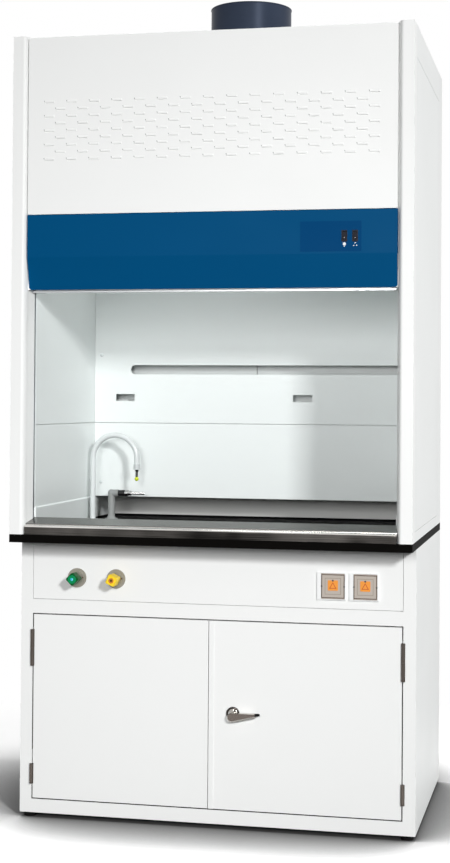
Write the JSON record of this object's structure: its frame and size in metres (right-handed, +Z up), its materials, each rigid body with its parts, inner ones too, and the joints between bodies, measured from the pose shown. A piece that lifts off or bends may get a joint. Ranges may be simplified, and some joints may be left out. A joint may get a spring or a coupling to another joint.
{
  "type": "ducted fume hood",
  "caption": "Laboratory fume hood on a base cabinet: rising glass sash, louvred front, slotted baffle, worktop with cup sink and taps, doors, valves and sockets.",
  "frame": {"origin": "middle of the bounding box at floor level", "axes": "+Z up, -Y towards the user at the sash, +X to the user's right"},
  "size_m": [1.2, 0.88, 2.546],
  "materials": {
    "white_front": "satin",
    "white_side": "satin",
    "white_base": "satin",
    "white_hidden": "satin",
    "liner": "gloss",
    "fascia_blue": "satin",
    "overlay_blue": "matte",
    "worktop_black": "satin",
    "sill_steel": "brushed",
    "collar_dark": "satin",
    "tap_grey": "gloss",
    "gas_grey": "gloss",
    "gas_metal": "polished",
    "knob_green": "gloss",
    "knob_yellow": "gloss",
    "rose_metal": "satin",
    "pipe_copper": "satin",
    "socket_white": "satin",
    "socket_dark": "matte",
    "lid_grey": "satin",
    "hinge_dark": "matte",
    "latch_chrome": "polished",
    "foot_black": "matte",
    "rocker_black": "gloss",
    "glass": "clear",
    "lamp_clear": "frosted",
    "lamp_tube": "gloss",
    "aluminium": "satin",
    "shoe_black": "matte",
    "steel": "satin"
  },
  "bodies": {
    "frame": {"carcass": "white_side", "cab_back": "white_hidden", "cab_frame": "white_base", "cab_shelf": "white_hidden", "service_strip": "white_base", "feet": "foot_black", "hinge_frame": "hinge_dark", "valve_roses": "rose_metal", "pipe_water": "pipe_copper", "pipe_gas": "pipe_copper", "socket_boxes": "socket_white", "socket_inserts": "socket_dark", "worktop": "worktop_black", "cup_sink": "worktop_black", "sill": "sill_steel", "tap_base": "tap_grey", "gas_outlet": "gas_grey", "gas_nozzle": "gas_metal", "post_l": "white_front", "post_r": "white_front", "side_l": "white_side", "side_r": "white_side", "access_panels": "white_side", "liner_l": "liner", "liner_r": "liner", "hood_back": "white_hidden", "baffle_up": "liner", "baffle_low": "liner", "baffle_spacers": "steel", "ceiling": "liner", "lamp_housing": "white_hidden", "lamp_glass": "lamp_clear", "lamp_tube": "lamp_tube", "roof": "white_side", "duct_collar": "collar_dark", "front_panel": "white_front", "fascia": "fascia_blue", "overlay": "overlay_blue", "switch_bezels": "rocker_black", "sash_tracks": "aluminium", "balance_tubes": "steel"},
    "sash": {"sash_glass": "glass", "sash_handle": "aluminium", "sash_rail": "aluminium", "sash_shoes": "shoe_black"},
    "door_left": {"door_l": "white_base", "hinge_door_l": "hinge_dark"},
    "door_right": {"door_r": "white_base", "hinge_door_r": "hinge_dark", "latch_rose": "latch_chrome"},
    "latch": {"latch_lever": "latch_chrome", "latch_cam": "steel"},
    "water_knob": {"knob_water": "knob_green"},
    "gas_knob": {"knob_gas": "knob_yellow"},
    "switch_a": {"rocker_a": "rocker_black"},
    "switch_b": {"rocker_b": "rocker_black"},
    "lid_left": {"lid_a": "lid_grey"},
    "lid_right": {"lid_b": "lid_grey"},
    "spout": {"swan_neck": "tap_grey", "tap_nozzle": "gas_metal"}
  },
  "joints": [
    {"name": "sash_slide", "type": "slide", "parent": "frame", "child": "sash", "axis": [0, 0, 1], "range_m": [-0.672, 0]},
    {"name": "door_left_hinge", "type": "hinge", "parent": "frame", "child": "door_left", "pos_m": [-0.563, -0.328, 0.513], "axis": [0, 0, -1], "range_deg": [0, 110]},
    {"name": "door_right_hinge", "type": "hinge", "parent": "frame", "child": "door_right", "pos_m": [0.563, -0.328, 0.513], "axis": [0, 0, 1], "range_deg": [0, 110]},
    {"name": "latch_turn", "type": "hinge", "parent": "door_right", "child": "latch", "pos_m": [0.05325, -0.325, 0.341], "axis": [0, 1, 0], "range_deg": [0, 90]},
    {"name": "water_knob_turn", "type": "hinge", "parent": "frame", "child": "water_knob", "pos_m": [-0.423, -0.325, 0.728], "axis": [0, -1, 0], "range_deg": [0, 270]},
    {"name": "gas_knob_turn", "type": "hinge", "parent": "frame", "child": "gas_knob", "pos_m": [-0.301, -0.325, 0.728], "axis": [0, -1, 0], "range_deg": [0, 180]},
    {"name": "switch_a_rock", "type": "hinge", "parent": "frame", "child": "switch_a", "pos_m": [0.401, -0.4352, 1.739], "axis": [-1, 0, 0], "range_deg": [0, 12]},
    {"name": "switch_b_rock", "type": "hinge", "parent": "frame", "child": "switch_b", "pos_m": [0.432, -0.4352, 1.739], "axis": [-1, 0, 0], "range_deg": [0, 12]},
    {"name": "lid_left_lift", "type": "hinge", "parent": "frame", "child": "lid_left", "pos_m": [0.3575, -0.3285, 0.7615], "axis": [-1, 0, 0], "range_deg": [0, 85]},
    {"name": "lid_right_lift", "type": "hinge", "parent": "frame", "child": "lid_right", "pos_m": [0.4525, -0.3285, 0.7615], "axis": [-1, 0, 0], "range_deg": [0, 85]},
    {"name": "spout_swivel", "type": "hinge", "parent": "frame", "child": "spout", "pos_m": [-0.521, 0.145, 0.95], "axis": [0, 0, 1], "range_deg": [-90, 30]}
  ]
}
